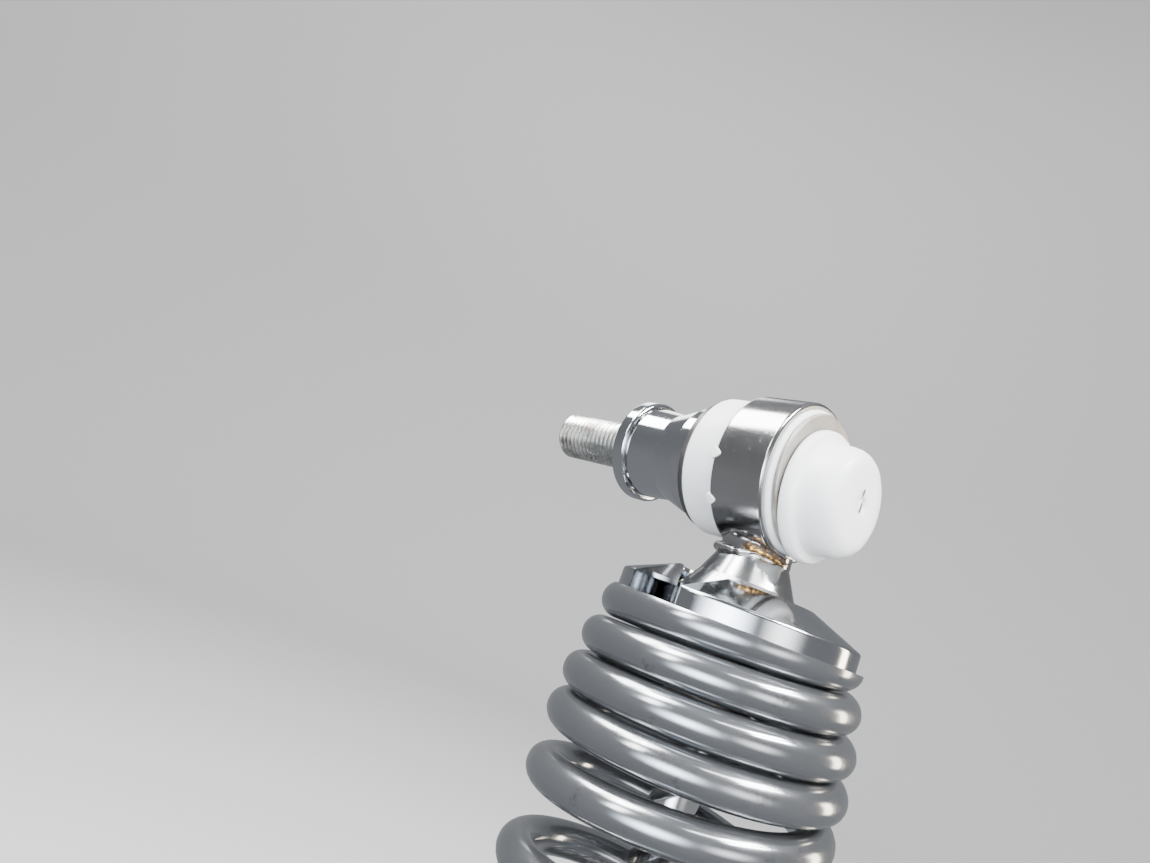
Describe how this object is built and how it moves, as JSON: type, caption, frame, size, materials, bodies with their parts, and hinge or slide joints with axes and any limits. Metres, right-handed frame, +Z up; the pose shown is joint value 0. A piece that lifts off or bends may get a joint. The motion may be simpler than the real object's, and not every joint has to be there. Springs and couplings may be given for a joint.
{
  "type": "motorcycle rear shock absorber",
  "caption": "Coil-over rear shock absorber hanging from its mounting stud, with white bushes, a capped nut, a tapered coil spring and a stepped preload cam.",
  "frame": {"origin": "on the axis of the upper mounting stud, where its spacer seats on the motorcycle's frame", "axes": "+Y along the stud, inboard into the frame; +Z up the shock's own axis; +X towards the front of the motorcycle, for a shock on its right side"},
  "size_m": [0.0632, 0.0994, 0.3521],
  "materials": {
    "zinc_steel": "satin",
    "dark_steel": "satin",
    "white_cap": "matte",
    "white_bush": "satin",
    "chrome_eye": "polished",
    "chrome_keeper": "polished",
    "chrome_rod": "polished",
    "stop_rubber": "matte",
    "spring_finish": "gloss",
    "gland_alloy": "satin",
    "tube_paint": "gloss"
  },
  "bodies": {
    "mounting": {"upper_stud": "zinc_steel", "upper_spacer": "chrome_keeper", "upper_inner_washer": "dark_steel", "upper_outer_washer": "zinc_steel", "upper_nut": "zinc_steel", "nut_cap": "white_cap", "upper_sleeve": "zinc_steel"},
    "rod_side": {"upper_eye": "chrome_eye", "upper_bush_inboard": "white_bush", "upper_bush_outboard": "white_bush", "spring_keeper": "chrome_keeper", "damper_rod": "chrome_rod", "bump_stop": "stop_rubber", "coil_spring": "spring_finish"},
    "tube_side": {"rod_gland": "gland_alloy", "damper_tube": "tube_paint", "lower_spring_seat": "chrome_keeper", "preload_cam": "dark_steel", "stop_collar": "tube_paint", "lower_eye": "chrome_eye", "lower_bush_inboard": "white_bush", "lower_bush_outboard": "white_bush"},
    "lower_pin_sleeve": {"lower_sleeve": "zinc_steel"}
  },
  "joints": [
    {"name": "upper_eye_swing", "type": "hinge", "parent": "mounting", "child": "rod_side", "pos_m": [0, 0, 0], "axis": [0, 1, 0], "range_deg": [-15, 15]},
    {"name": "damper_stroke", "type": "slide", "parent": "rod_side", "child": "tube_side", "axis": [0, 0, 1], "range_m": [0, 0.06], "stiffness_N_per_m": 19000, "springref_m": -0.012, "deforming": ["coil_spring"]},
    {"name": "lower_sleeve_turn", "type": "hinge", "parent": "tube_side", "child": "lower_pin_sleeve", "pos_m": [0, -0.03975, -0.3175], "axis": [0, 1, 0], "range_deg": [-20, 20]}
  ]
}
